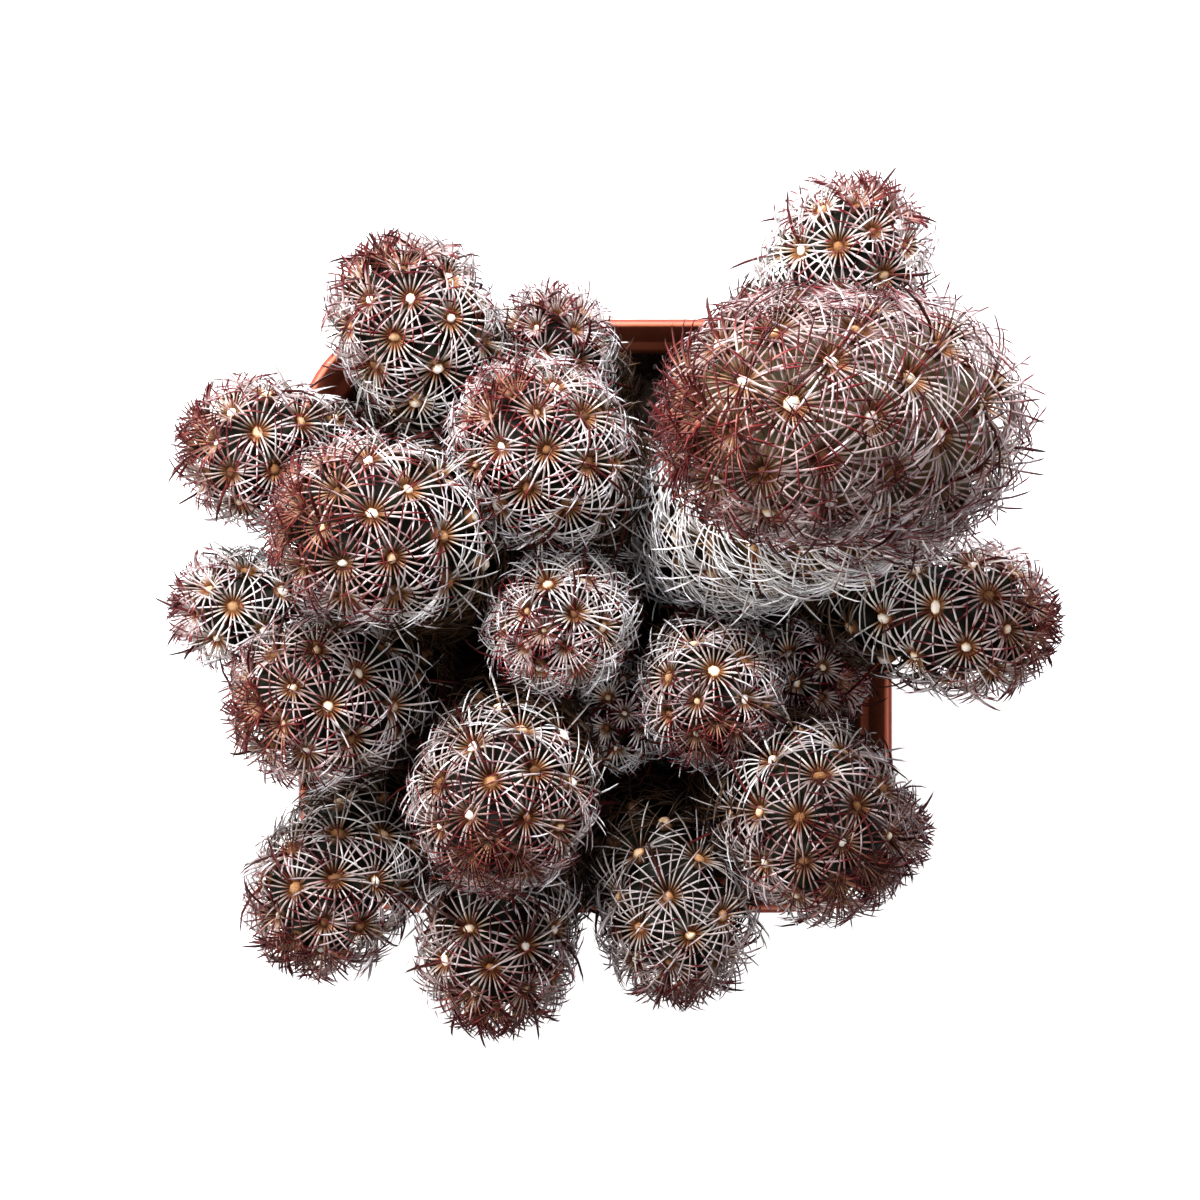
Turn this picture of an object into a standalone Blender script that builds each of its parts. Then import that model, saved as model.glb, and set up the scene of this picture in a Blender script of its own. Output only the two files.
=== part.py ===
"""Potted ladyfinger cactus: a clump of twenty spiny finger stems in a square plastic pot.

The pot is a tapered square tub with rounded corners, a stepped collar and a drained base.
It is filled with soil, and each stem stands in a plain hole in that soil. A stem is a bent
finger whose skin is a spiral of tubercles, and every other tubercle carries a star of spines.
Run it with: blender --background --python part.py
"""

import math
from collections import namedtuple

import bmesh
import bpy
import numpy as np
from mathutils import Vector
from mathutils.bvhtree import BVHTree

MM = 0.001

# Pot: a nominal 8.5 cm square nursery pot
POT_WIDTH = 85.0 * MM
POT_HEIGHT = 75.0 * MM
POT_CORNER = 16.5 * MM
BASE_WIDTH = 62.0 * MM
BASE_CORNER = 11.0 * MM
COLLAR_CORNER_EXTRA = 1.5 * MM
WALL = 1.2 * MM
COLLAR_HEIGHT = 12.0 * MM
COLLAR_STEP = 1.0 * MM
COLLAR_TAPER = 0.85 * MM
LIP_ROUND = 0.4 * MM
FOOT_HEIGHT = 1.5 * MM
FLOOR_TOP = 3.0 * MM
CORNER_STEPS = 5
COLLAR_FOOT = POT_HEIGHT - COLLAR_HEIGHT

# Channels under the base, and the holes that drain into them
CHANNEL_WIDTH = 7.0 * MM
CENTRE_PAD = 7.0 * MM
HOLE_RADIUS = 2.75 * MM
HOLE_OUT = 17.0 * MM
HOLE_SIDES = 12

# Soil
SOIL_DOWN = 14.0 * MM
SOIL_TOP = POT_HEIGHT - SOIL_DOWN
FIT_GAP = 0.3 * MM
SOIL_LUMP = 0.25 * MM
SOIL_WAVES = (6.1 * MM, 5.3 * MM, 9.7 * MM)
SOIL_RINGS = (1.0, 0.78, 0.52, 0.26)
SOCKET_DEPTH = 8.0 * MM
SOCKET_GAP = 0.35 * MM
SOCKET_SIDES = 8

# Stems
NECK_SHARE = 0.58
FILL_OUT = 34.0 * MM
FILL_SHARE = 0.75
RISE_HANDLE = 0.35
HEAD_HANDLE = 0.22
AXIS_SAMPLES = 80
PEG_TOP = 0.8 * MM
SKIN_START = 1.4 * MM
CROWN_SHARE = 0.3
VALLEY_SHARE = 0.3
GOLDEN_ANGLE = math.radians(137.508)

# Spines
LOWEST_SPINES = 9.0 * MM
SPINE_ROOT = 0.8 * MM
SPINE_LENGTH = 8.0 * MM
SMALL_SPINE_LENGTH = 6.2 * MM
SPINE_ROOT_SHARE = 0.4
SPINE_APART = 0.75 * MM
SPINE_OFF_SKIN = 0.4 * MM
SPINE_RISES = (24, 34, 46, 60)
STEEPEST_RISE = 80
SPINE_SHORTER = (1.0, 0.8, 0.62)
TESTED_SHARES = (0.45, 0.7, 1.0)
CROWN_EXTRA_RISE = 32

# base: where the stem leaves the soil. head: centre of its rounded end. facing and tilt: the way
# the end points, round from +X and down from upright, in degrees. radius: out to its tubercle tips.
# handle and rise: how far the bend reaches back from the head and up from the base, as shares of
# the way between them.
Stem = namedtuple(
    "Stem",
    "name base head facing tilt radius handle rise",
    defaults=(HEAD_HANDLE, RISE_HANDLE),
)
STEMS = [
    Stem("stem_tall", (14.9, 11.9), (20.3, 21.4, 168), 188, 56, 10.7, 0.41, 0.7),
    Stem("stem_02", (-18, 26), (-24, 38.8, 107), 120, 55, 8.3),
    Stem("stem_03", (-29, 17.3), (-44.9, 22.1, 98), 168, 60, 7.8),
    Stem("stem_04", (-28.8, 2.0), (-49, 1.2, 92), 180, 74, 5.7),
    Stem("stem_05", (-19.4, 6.8), (-28.6, 11.2, 120), 175, 48, 9.5),
    Stem("stem_06", (-1.3, 18.7), (-7.3, 21.9, 113), 125, 36, 9.3),
    Stem("stem_07", (-0.4, 32.9), (-5.6, 36.4, 93), 90, 30, 6.0),
    Stem("stem_08", (-4.2, -1.2), (-4.7, -0.6, 107), 225, 25, 6.9),
    Stem("stem_09", (-27, -11.3), (-36.2, -10.6, 107), 195, 45, 8.9),
    Stem("stem_10", (-26, -24.4), (-35.8, -37.1, 98), 238, 50, 8.3),
    Stem("stem_11", (-12, -15), (-11.7, -23.4, 113), 252, 32, 9.5),
    Stem("stem_12", (-10, -31), (-12.9, -43.9, 101), 268, 62, 8.2),
    Stem("stem_13", (3.4, -13.2), (3.6, -13.2, 92), 265, 8, 5.0),
    Stem("stem_14", (15.9, -8.4), (15.2, -10.4, 104), 270, 30, 7.2),
    Stem("stem_15", (28, -9.6), (29.8, -8.3, 88), 330, 38, 5.1),
    Stem("stem_16", (21.4, -23.8), (29.2, -26.8, 111), 307, 38, 9.6),
    Stem("stem_17", (4.2, -29.8), (11, -40.4, 98), 272, 60, 8.3),
    Stem("stem_18", (30.6, 6.2), (50, -0.4, 103), 352, 68, 7.9),
    Stem("stem_19", (21, 31), (32.9, 46.4, 108), 70, 56, 8.1),
    Stem("stem_20", (33.4, -29.2), (39.2, -30, 87), 0, 62, 4.2),
]

# A lattice joins tubercle i to i + first, i + second and i + first + second round the spiral.
# pitch is the climb from one tubercle to the next, as a share of the stem's radius there.
Lattice = namedtuple("Lattice", "first second pitch")
LARGE_LATTICE = Lattice(3, 5, 0.125)
STEM_LATTICE = Lattice(3, 5, 0.16)
SMALL_LATTICE = Lattice(2, 3, 0.3)
LARGE_STEM = 10.5 * MM
SMALL_STEM = 6.5 * MM

SHARP_EDGE = math.radians(40)
NOT_ZERO = 1e-18

TERRACOTTA = (0.52, 0.16, 0.09)
SOIL_BROWN = (0.05, 0.032, 0.022)
STEM_GREEN = (0.30, 0.29, 0.24)
TALL_GREEN = (0.36, 0.33, 0.29)


def clear_scene():
    for obj in list(bpy.data.objects):
        bpy.data.objects.remove(obj, do_unlink=True)


def new_collection(name):
    collection = bpy.data.collections.new(name)
    bpy.context.scene.collection.children.link(collection)
    return collection


def new_material(name, colour, roughness):
    material = bpy.data.materials.new(name)
    material.use_nodes = True
    shader = material.node_tree.nodes["Principled BSDF"]
    shader.inputs["Base Color"].default_value = (*colour, 1.0)
    shader.inputs["Roughness"].default_value = roughness
    shader.inputs["Metallic"].default_value = 0.0
    material.diffuse_color = (*colour, 1.0)
    return material


def new_object(name, bm, collection, material=None):
    mesh = bpy.data.meshes.new(name)
    bm.to_mesh(mesh)
    bm.free()
    obj = bpy.data.objects.new(name, mesh)
    collection.objects.link(obj)
    if material:
        mesh.materials.append(material)
    return obj


def shade(obj):
    obj.data.shade_smooth()
    obj.data.set_sharp_from_angle(angle=SHARP_EDGE)


def rounded_square(width, corner, z):
    """Points of a rounded square centred on the Z axis, anticlockwise seen from above."""
    reach = width / 2 - corner
    points = []
    for quarter in range(4):
        middle = math.radians(45 + 90 * quarter)
        centre_x = math.copysign(reach, math.cos(middle))
        centre_y = math.copysign(reach, math.sin(middle))
        for step in range(CORNER_STEPS + 1):
            angle = math.radians(90 * (quarter + step / CORNER_STEPS))
            points.append(
                Vector(
                    (centre_x + corner * math.cos(angle), centre_y + corner * math.sin(angle), z)
                )
            )
    return points


def loft(bm, sections):
    """Joins equal rings of points, from the first section to the last, and caps both ends."""
    rings = [[bm.verts.new(point) for point in section] for section in sections]
    count = len(rings[0])
    for lower, upper in zip(rings, rings[1:]):
        for i in range(count):
            j = (i + 1) % count
            bm.faces.new((lower[i], lower[j], upper[j], upper[i]))
    bm.faces.new(rings[0][::-1])
    bm.faces.new(rings[-1])


def cut(target, cutter, name):
    boolean = target.modifiers.new(name, "BOOLEAN")
    boolean.operation = "DIFFERENCE"
    boolean.object = cutter


def new_cutter(name, bm, cutters):
    obj = new_object(name, bm, cutters)
    obj.hide_render = True
    obj.display_type = "WIRE"
    return obj


def apply_modifiers(obj):
    graph = bpy.context.evaluated_depsgraph_get()
    mesh = bpy.data.meshes.new_from_object(obj.evaluated_get(graph))
    obj.modifiers.clear()
    obj.data = mesh


def outer_width(z):
    """Outside width of the pot's wall below the collar."""
    top_width = POT_WIDTH - 2 * (COLLAR_TAPER + COLLAR_STEP)
    return BASE_WIDTH + (top_width - BASE_WIDTH) * z / COLLAR_FOOT


def outer_corner(z):
    top_corner = POT_CORNER - COLLAR_CORNER_EXTRA
    return BASE_CORNER + (top_corner - BASE_CORNER) * z / COLLAR_FOOT


def make_pot(collection, cutters, material):
    """One closed wall: up the outside, over the lip, down the inside and across the floor."""
    collar_width = POT_WIDTH - 2 * COLLAR_TAPER
    collar_corner = POT_CORNER - COLLAR_TAPER
    ledge = COLLAR_FOOT - COLLAR_STEP
    under = FOOT_HEIGHT / 2
    lip = POT_HEIGHT - LIP_ROUND
    mouth = POT_WIDTH - 2 * WALL
    rings = [
        (outer_width(0) - 2 * under, BASE_CORNER - under, 0),
        (outer_width(under), outer_corner(under), under),
        (outer_width(COLLAR_FOOT), outer_corner(COLLAR_FOOT), COLLAR_FOOT),
        (collar_width, collar_corner, COLLAR_FOOT + COLLAR_STEP / 2),
        (POT_WIDTH, POT_CORNER, lip),
        (POT_WIDTH - 2 * LIP_ROUND, POT_CORNER - LIP_ROUND, POT_HEIGHT),
        (mouth + LIP_ROUND, POT_CORNER - WALL + LIP_ROUND / 2, POT_HEIGHT),
        (mouth, POT_CORNER - WALL, lip),
        (collar_width - 2 * WALL, collar_corner - WALL, COLLAR_FOOT),
        (outer_width(ledge) - 2 * WALL, outer_corner(ledge) - WALL, ledge),
        (outer_width(FLOOR_TOP) - 2 * WALL, outer_corner(FLOOR_TOP) - WALL, FLOOR_TOP),
    ]
    sections = [rounded_square(width, corner, z) for width, corner, z in rings]
    bm = bmesh.new()
    loft(bm, sections)
    pot = new_object("pot", bm, collection, material)
    for quarter in range(4):
        add_drain(pot, cutters, quarter)
    apply_modifiers(pot)
    shade(pot)
    return pot


def add_drain(pot, cutters, quarter):
    """A channel from the centre pad out under the wall, and a round hole up through the floor."""
    angle = math.radians(90 * quarter)
    along = Vector((math.cos(angle), math.sin(angle), 0))
    across = Vector((-along.y, along.x, 0))
    size = along * (BASE_WIDTH - CENTRE_PAD) + across * CHANNEL_WIDTH
    size.z = 2 * FOOT_HEIGHT
    channel = bmesh.new()
    bmesh.ops.create_cube(channel, size=1.0)
    bmesh.ops.scale(channel, vec=[abs(side) for side in size], verts=channel.verts)
    middle = along * (CENTRE_PAD + BASE_WIDTH) / 2
    bmesh.ops.translate(channel, vec=middle, verts=channel.verts)
    cut(pot, new_cutter(f"channel_{quarter}", channel, cutters), f"channel {quarter}")
    hole = new_post(HOLE_RADIUS, HOLE_SIDES, 4 * FLOOR_TOP, along * HOLE_OUT)
    cut(pot, new_cutter(f"drain_{quarter}", hole, cutters), f"drain {quarter}")


def new_post(radius, sides, height, middle):
    """An upright prism whose flat sides all lie the given radius from its axis."""
    corner_radius = radius / math.cos(math.pi / sides)
    post = bmesh.new()
    bmesh.ops.create_cone(
        post,
        cap_ends=True,
        segments=sides,
        radius1=corner_radius,
        radius2=corner_radius,
        depth=height,
    )
    bmesh.ops.translate(post, vec=middle, verts=post.verts)
    return post


def soil_height(x, y):
    """The soil's top, a little uneven."""
    wave_x, wave_y, wave_both = SOIL_WAVES
    lumps = math.sin(x / wave_x) * math.cos(y / wave_y) + math.sin((x + y) / wave_both)
    return SOIL_TOP + SOIL_LUMP * lumps


def soil_section(z, share=1.0):
    width = outer_width(z) - 2 * (WALL + FIT_GAP)
    corner = outer_corner(z) - WALL - FIT_GAP
    return rounded_square(width * share, corner * share, z)


def make_soil(collection, cutters, material):
    """A block that fills the pot up to its top, with a straight socket for each stem."""
    sections = [soil_section(FLOOR_TOP + FIT_GAP)]
    for share in SOIL_RINGS:
        ring = soil_section(SOIL_TOP, share)
        sections.append([Vector((p.x, p.y, soil_height(p.x, p.y))) for p in ring])
    bm = bmesh.new()
    loft(bm, sections)
    bmesh.ops.triangulate(bm, faces=bm.faces)
    soil = new_object("soil", bm, collection, material)
    for stem in STEMS:
        neck = stem.radius * MM * NECK_SHARE
        middle = Vector((stem.base[0] * MM, stem.base[1] * MM, SOIL_TOP))
        depth = SOCKET_DEPTH + FIT_GAP
        socket = new_post(neck + SOCKET_GAP, SOCKET_SIDES, 2 * depth, middle)
        cut(soil, new_cutter(f"socket_{stem.name}", socket, cutters), stem.name)
    apply_modifiers(soil)
    shade(soil)
    return soil


class Finger:
    """The bent axis of a stem, its radius along the way, and points on its skin."""

    def __init__(self, stem):
        self.radius = stem.radius * MM
        base = np.array((*stem.base, SOIL_TOP / MM)) * MM
        head = np.array(stem.head, float) * MM
        facing = math.radians(stem.facing)
        tilt = math.radians(stem.tilt)
        self.end = np.array(
            (
                math.cos(facing) * math.sin(tilt),
                math.sin(facing) * math.sin(tilt),
                math.cos(tilt),
            )
        )
        reach = np.linalg.norm(head - base)
        rise = base + np.array((0, 0, stem.rise * reach))
        back = head - self.end * stem.handle * reach
        t = np.linspace(0, 1, AXIS_SAMPLES)[:, None]
        self.points = (
            (1 - t) ** 3 * base
            + 3 * (1 - t) ** 2 * t * rise
            + 3 * (1 - t) * t**2 * back
            + t**3 * head
        )
        steps = np.linalg.norm(np.diff(self.points, axis=0), axis=1)
        self.along = np.concatenate(([0], np.cumsum(steps)))
        self.length = self.along[-1]
        self.sides = self.carry_side(np.gradient(self.points, axis=0))

    def carry_side(self, tangents):
        """A side direction at each sample that turns as little as it can along the bend."""
        side = np.array((1.0, 0.0, 0.0))
        sides = []
        for tangent in tangents:
            tangent = tangent / np.linalg.norm(tangent)
            side = side - tangent * (side @ tangent)
            side = side / np.linalg.norm(side)
            sides.append((side, np.cross(tangent, side)))
        return np.array(sides)

    def radius_at(self, s):
        """The skin's distance from the axis, s along it and on round the head."""
        if s > self.length:
            return self.radius * math.cos((s - self.length) / self.radius)
        grown = min(max(s, 0) / min(FILL_SHARE * self.length, FILL_OUT), 1)
        share = NECK_SHARE + (1 - NECK_SHARE) * math.sin(grown * math.pi / 2)
        return self.radius * share

    def skin(self, s, angle):
        """A point on the skin, and the direction straight out of it."""
        on_axis = min(max(s, 0), self.length)
        place = np.array([np.interp(on_axis, self.along, self.points[:, k]) for k in range(3)])
        sample = min(int(np.searchsorted(self.along, on_axis)), AXIS_SAMPLES - 1)
        side, other_side = self.sides[sample]
        out = side * math.cos(angle) + other_side * math.sin(angle)
        if s < 0:
            place = place + np.array((0, 0, s))
        if s > self.length:
            turn = (s - self.length) / self.radius
            out = out * math.cos(turn) + self.end * math.sin(turn)
            return Vector(place + out * self.radius), Vector(out)
        return Vector(place + out * self.radius_at(s)), Vector(out)


def lattice_for(stem):
    if stem.radius * MM > LARGE_STEM:
        return LARGE_LATTICE
    if stem.radius * MM < SMALL_STEM:
        return SMALL_LATTICE
    return STEM_LATTICE


def spiral_heights(finger, lattice):
    """How far along the stem each tubercle lies: closer together where the stem is thinner."""
    heights = [SKIN_START]
    crown = finger.radius * CROWN_SHARE
    while True:
        halfway = heights[-1] + 0.5 * lattice.pitch * finger.radius_at(heights[-1])
        s = heights[-1] + lattice.pitch * finger.radius_at(halfway)
        if s > finger.length and finger.radius_at(s) < crown:
            return heights
        heights.append(s)


def boundary(first_index, lattice):
    """The indices round an open end of the lattice, in order round the stem."""
    order = [0]
    total = lattice.first + lattice.second
    while len(order) < total:
        step = lattice.first if order[-1] < lattice.second else -lattice.second
        order.append(order[-1] + step)
    return [first_index + i for i in order]


def make_skin(stem):
    """The stem's closed skin before its spines, with its tubercle tips and their outward ways."""
    finger = Finger(stem)
    lattice = lattice_for(stem)
    both = lattice.first + lattice.second
    heights = spiral_heights(finger, lattice)
    bm = bmesh.new()
    tips = []
    for i, s in enumerate(heights):
        place, out = finger.skin(s, i * GOLDEN_ANGLE)
        tips.append((bm.verts.new(place), out, s))
    verts = [vert for vert, _, _ in tips]
    faces = []
    for i in range(len(heights) - both):
        faces.append(bm.faces.new((verts[i], verts[i + lattice.first], verts[i + both])))
        faces.append(bm.faces.new((verts[i], verts[i + both], verts[i + lattice.second])))
    crown = finger.length + finger.radius * math.pi / 2
    apex_place, apex_out = finger.skin(crown, 0)
    apex = bm.verts.new(apex_place)
    top = boundary(len(heights) - both, lattice)
    for a, b in zip(top, top[1:] + top[:1]):
        faces.append(bm.faces.new((verts[a], verts[b], apex)))
    ridges = [edge for edge in bm.edges if len(edge.link_faces) == 2]
    add_peg(bm, finger, [verts[k] for k in boundary(0, lattice)], lattice)
    bmesh.ops.recalc_face_normals(bm, faces=bm.faces)
    bmesh.ops.poke(bm, faces=faces, offset=-VALLEY_SHARE, use_relative_offset=True)
    bmesh.ops.rotate_edges(bm, edges=ridges)
    bmesh.ops.recalc_face_normals(bm, faces=bm.faces)
    stars = [tip for tip in tips[both::2] if tip[2] > LOWEST_SPINES]
    stars.append((apex, apex_out, crown))
    return bm, finger, stars


def add_peg(bm, finger, rim, lattice):
    """The plain foot of the stem that stands in its socket."""
    angles = [k * GOLDEN_ANGLE for k in boundary(0, lattice)]
    rings = [
        [bm.verts.new(finger.skin(s, angle)[0]) for angle in angles]
        for s in (-SOCKET_DEPTH, PEG_TOP)
    ]
    rings.append(rim)
    count = len(rim)
    for low, high in zip(rings, rings[1:]):
        for i in range(count):
            j = (i + 1) % count
            bm.faces.new((low[i], low[j], high[j], high[i]))
    bm.faces.new(rings[0])


class Clearance:
    """What spines must keep clear of: every skin, the pot and the soil, and the other spines."""

    def __init__(self, solids):
        vertices, polygons = [], []
        for bm in solids:
            bm.verts.index_update()
            start = len(vertices)
            vertices += [v.co.copy() for v in bm.verts]
            polygons += [[start + v.index for v in face.verts] for face in bm.faces]
        self.tree = BVHTree.FromPolygons(vertices, polygons)
        self.roots = np.zeros((0, 3))
        self.tips = np.zeros((0, 3))
        self.owners = np.zeros(0, int)

    def free(self, root, tip, owner):
        way = (tip - root).normalized()
        start = root + way * SPINE_ROOT
        reach = (tip - start).length + SPINE_OFF_SKIN
        if self.tree.ray_cast(start, way, reach)[0] is not None:
            return False
        for share in TESTED_SHARES:
            at = root.lerp(tip, share)
            if self.tree.find_nearest(at)[3] < SPINE_OFF_SKIN:
                return False
        others = self.owners != owner
        if not others.any():
            return True
        gaps = segment_gaps(np.array(root), np.array(tip), self.roots[others], self.tips[others])
        return gaps.min() > SPINE_APART

    def keep(self, root, tip, owner):
        self.roots = np.vstack((self.roots, np.array(root)))
        self.tips = np.vstack((self.tips, np.array(tip)))
        self.owners = np.append(self.owners, owner)


def segment_gaps(p, q, starts, ends):
    """The least distance from segment p-q to each of the other segments."""
    u = q - p
    v = ends - starts
    w = p - starts
    a = u @ u
    b = v @ u
    c = np.einsum("ij,ij->i", v, v)
    d = w @ u
    e = np.einsum("ij,ij->i", v, w)
    full = np.maximum(a * c - b * b, NOT_ZERO)
    s = np.clip((b * e - c * d) / full, 0, 1)
    t = np.clip((b * s + e) / c, 0, 1)
    s = np.clip((b * t - d) / a, 0, 1)
    return np.linalg.norm(w + s[:, None] * u - t[:, None] * v, axis=1)


def pick_spine(root, flat, out, length, rise, owner, clearance):
    """The longest and lowest-lying spine that stays clear, or None where none does."""
    for shorter in SPINE_SHORTER:
        for extra in SPINE_RISES:
            angle = math.radians(min(rise + extra, STEEPEST_RISE))
            way = flat * math.cos(angle) + out * math.sin(angle)
            tip = root + way * length * shorter
            if clearance.free(root, tip, owner):
                clearance.keep(root, tip, owner)
                return tip
    return None


def crown_rise(finger, s):
    """Young spines near the top stand up more than the old ones on the sides."""
    share = (s - finger.length) / (finger.radius * math.pi / 2)
    return CROWN_EXTRA_RISE * max(0.0, share)


def root_share(edge):
    """How far along an edge from the tubercle's tip the foot of a spine reaches."""
    return min(SPINE_ROOT / edge.calc_length(), SPINE_ROOT_SHARE)


def grow_star(star, finger, length, owner, clearance):
    """Picks a spine for each facet round a tubercle's tip, and gives the facets that have room."""
    tip, out, s = star
    for face in list(tip.link_faces):
        flat = face.calc_center_median() - tip.co
        flat = (flat - out * flat.dot(out)).normalized()
        edges = [edge for edge in face.edges if tip in edge.verts]
        corners = [tip.co.lerp(edge.other_vert(tip).co, root_share(edge)) for edge in edges]
        root = (tip.co + corners[0] + corners[1]) / 3
        spine_tip = pick_spine(root, flat, out, length, crown_rise(finger, s), owner, clearance)
        if spine_tip:
            yield face, spine_tip


def raise_spines(bm, tip, chosen):
    """Splits the chosen facets near the tip, and pulls the small corner of each out to a point."""
    edges = {edge for face, _ in chosen for edge in face.edges if tip in edge.verts}
    feet = set()
    for edge in sorted(edges, key=lambda edge: edge.index):
        feet.add(bmesh.utils.edge_split(edge, tip, root_share(edge))[1])
    for face, spine_tip in chosen:
        a, b = [vert for vert in face.verts if vert in feet]
        bmesh.utils.face_split(face, a, b)
        corner = [near for near in tip.link_faces if a in near.verts and b in near.verts]
        poked = bmesh.ops.poke(bm, faces=corner)
        poked["verts"][0].co = spine_tip


def make_stems(collection, pot, soil, materials):
    skins = [make_skin(stem) for stem in STEMS]
    around = []
    for obj in (pot, soil):
        bm = bmesh.new()
        bm.from_mesh(obj.data)
        around.append(bm)
    clearance = Clearance([bm for bm, _, _ in skins] + around)
    owner = 0
    for stem, (bm, finger, stars) in zip(STEMS, skins):
        small = stem.radius * MM < SMALL_STEM
        length = SMALL_SPINE_LENGTH if small else SPINE_LENGTH
        for star in reversed(stars):
            owner += 1
            chosen = list(grow_star(star, finger, length, owner, clearance))
            raise_spines(bm, star[0], chosen)
        bmesh.ops.triangulate(bm, faces=bm.faces)
        shade(new_object(stem.name, bm, collection, materials[stem.name == "stem_tall"]))


def main():
    clear_scene()
    collection = new_collection("potted ladyfinger cactus")
    cutters = new_collection("cutters")
    pot = make_pot(collection, cutters, new_material("pot plastic", TERRACOTTA, 0.55))
    soil = make_soil(collection, cutters, new_material("soil", SOIL_BROWN, 0.95))
    stem_material = new_material("spiny skin", STEM_GREEN, 0.6)
    tall_material = new_material("tall spiny skin", TALL_GREEN, 0.6)
    make_stems(collection, pot, soil, (stem_material, tall_material))


main()
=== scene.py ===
"""Looks of the potted ladyfinger cactus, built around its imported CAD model.

Each stem is a finger: a skin of low tubercles, a woolly tuft on each of them, and a fan of spines
round each tuft. The pot is a square tub of terracotta plastic, filled with gritty soil.
Every length is in metres, in the same frame as the CAD.
"""

import math
from collections import namedtuple

import bmesh
import bpy
import numpy as np
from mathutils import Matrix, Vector


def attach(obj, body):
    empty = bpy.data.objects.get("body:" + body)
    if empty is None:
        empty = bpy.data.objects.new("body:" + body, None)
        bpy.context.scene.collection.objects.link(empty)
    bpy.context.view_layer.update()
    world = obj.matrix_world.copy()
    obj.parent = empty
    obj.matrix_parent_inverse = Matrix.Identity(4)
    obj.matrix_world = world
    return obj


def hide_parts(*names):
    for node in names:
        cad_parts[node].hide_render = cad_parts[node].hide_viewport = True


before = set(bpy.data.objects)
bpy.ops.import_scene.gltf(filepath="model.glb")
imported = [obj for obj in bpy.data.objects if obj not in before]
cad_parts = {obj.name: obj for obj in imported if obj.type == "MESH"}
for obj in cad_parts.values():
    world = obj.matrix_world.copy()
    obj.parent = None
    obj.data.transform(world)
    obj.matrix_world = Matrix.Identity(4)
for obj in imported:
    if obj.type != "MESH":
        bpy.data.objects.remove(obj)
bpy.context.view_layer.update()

MM = 0.001
UV_MAP = "OFBake"

# Pot: as in the CAD, with finer corners and rounded edges
POT_WIDTH = 85.0 * MM
POT_HEIGHT = 75.0 * MM
POT_CORNER = 16.5 * MM
BASE_WIDTH = 62.0 * MM
BASE_CORNER = 11.0 * MM
COLLAR_CORNER_EXTRA = 1.5 * MM
WALL = 1.2 * MM
COLLAR_HEIGHT = 12.0 * MM
COLLAR_STEP = 1.0 * MM
COLLAR_TAPER = 0.85 * MM
LIP_ROUND = 0.4 * MM
FOOT_HEIGHT = 1.5 * MM
FLOOR_TOP = 3.0 * MM
COLLAR_FOOT = POT_HEIGHT - COLLAR_HEIGHT
CORNER_STEPS = 14
EDGE_ROUND = 0.35 * MM
ROUND_STEPS = 3
ROUNDED_FROM = math.radians(25)
SHARP_FROM = math.radians(40)
CHANNEL_WIDTH = 7.0 * MM
CENTRE_PAD = 7.0 * MM
HOLE_RADIUS = 2.75 * MM
HOLE_OUT = 17.0 * MM
HOLE_SIDES = 32

# Stems: as in the CAD
SOIL_TOP = 61.0 * MM
SOCKET_DEPTH = 8.0 * MM
NECK_SHARE = 0.58
FILL_OUT = 34.0 * MM
FILL_SHARE = 0.75
RISE_HANDLE = 0.35
HEAD_HANDLE = 0.22
AXIS_SAMPLES = 160
AREOLE_SAMPLES = 4000
GOLDEN_ANGLE = math.radians(137.508)
WHITE_TONE = 0.23
RED_FADE = 9.0
RED_REACH = 14.0
WEATHERING_AND_SHADE_FROM = -2.0
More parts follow.
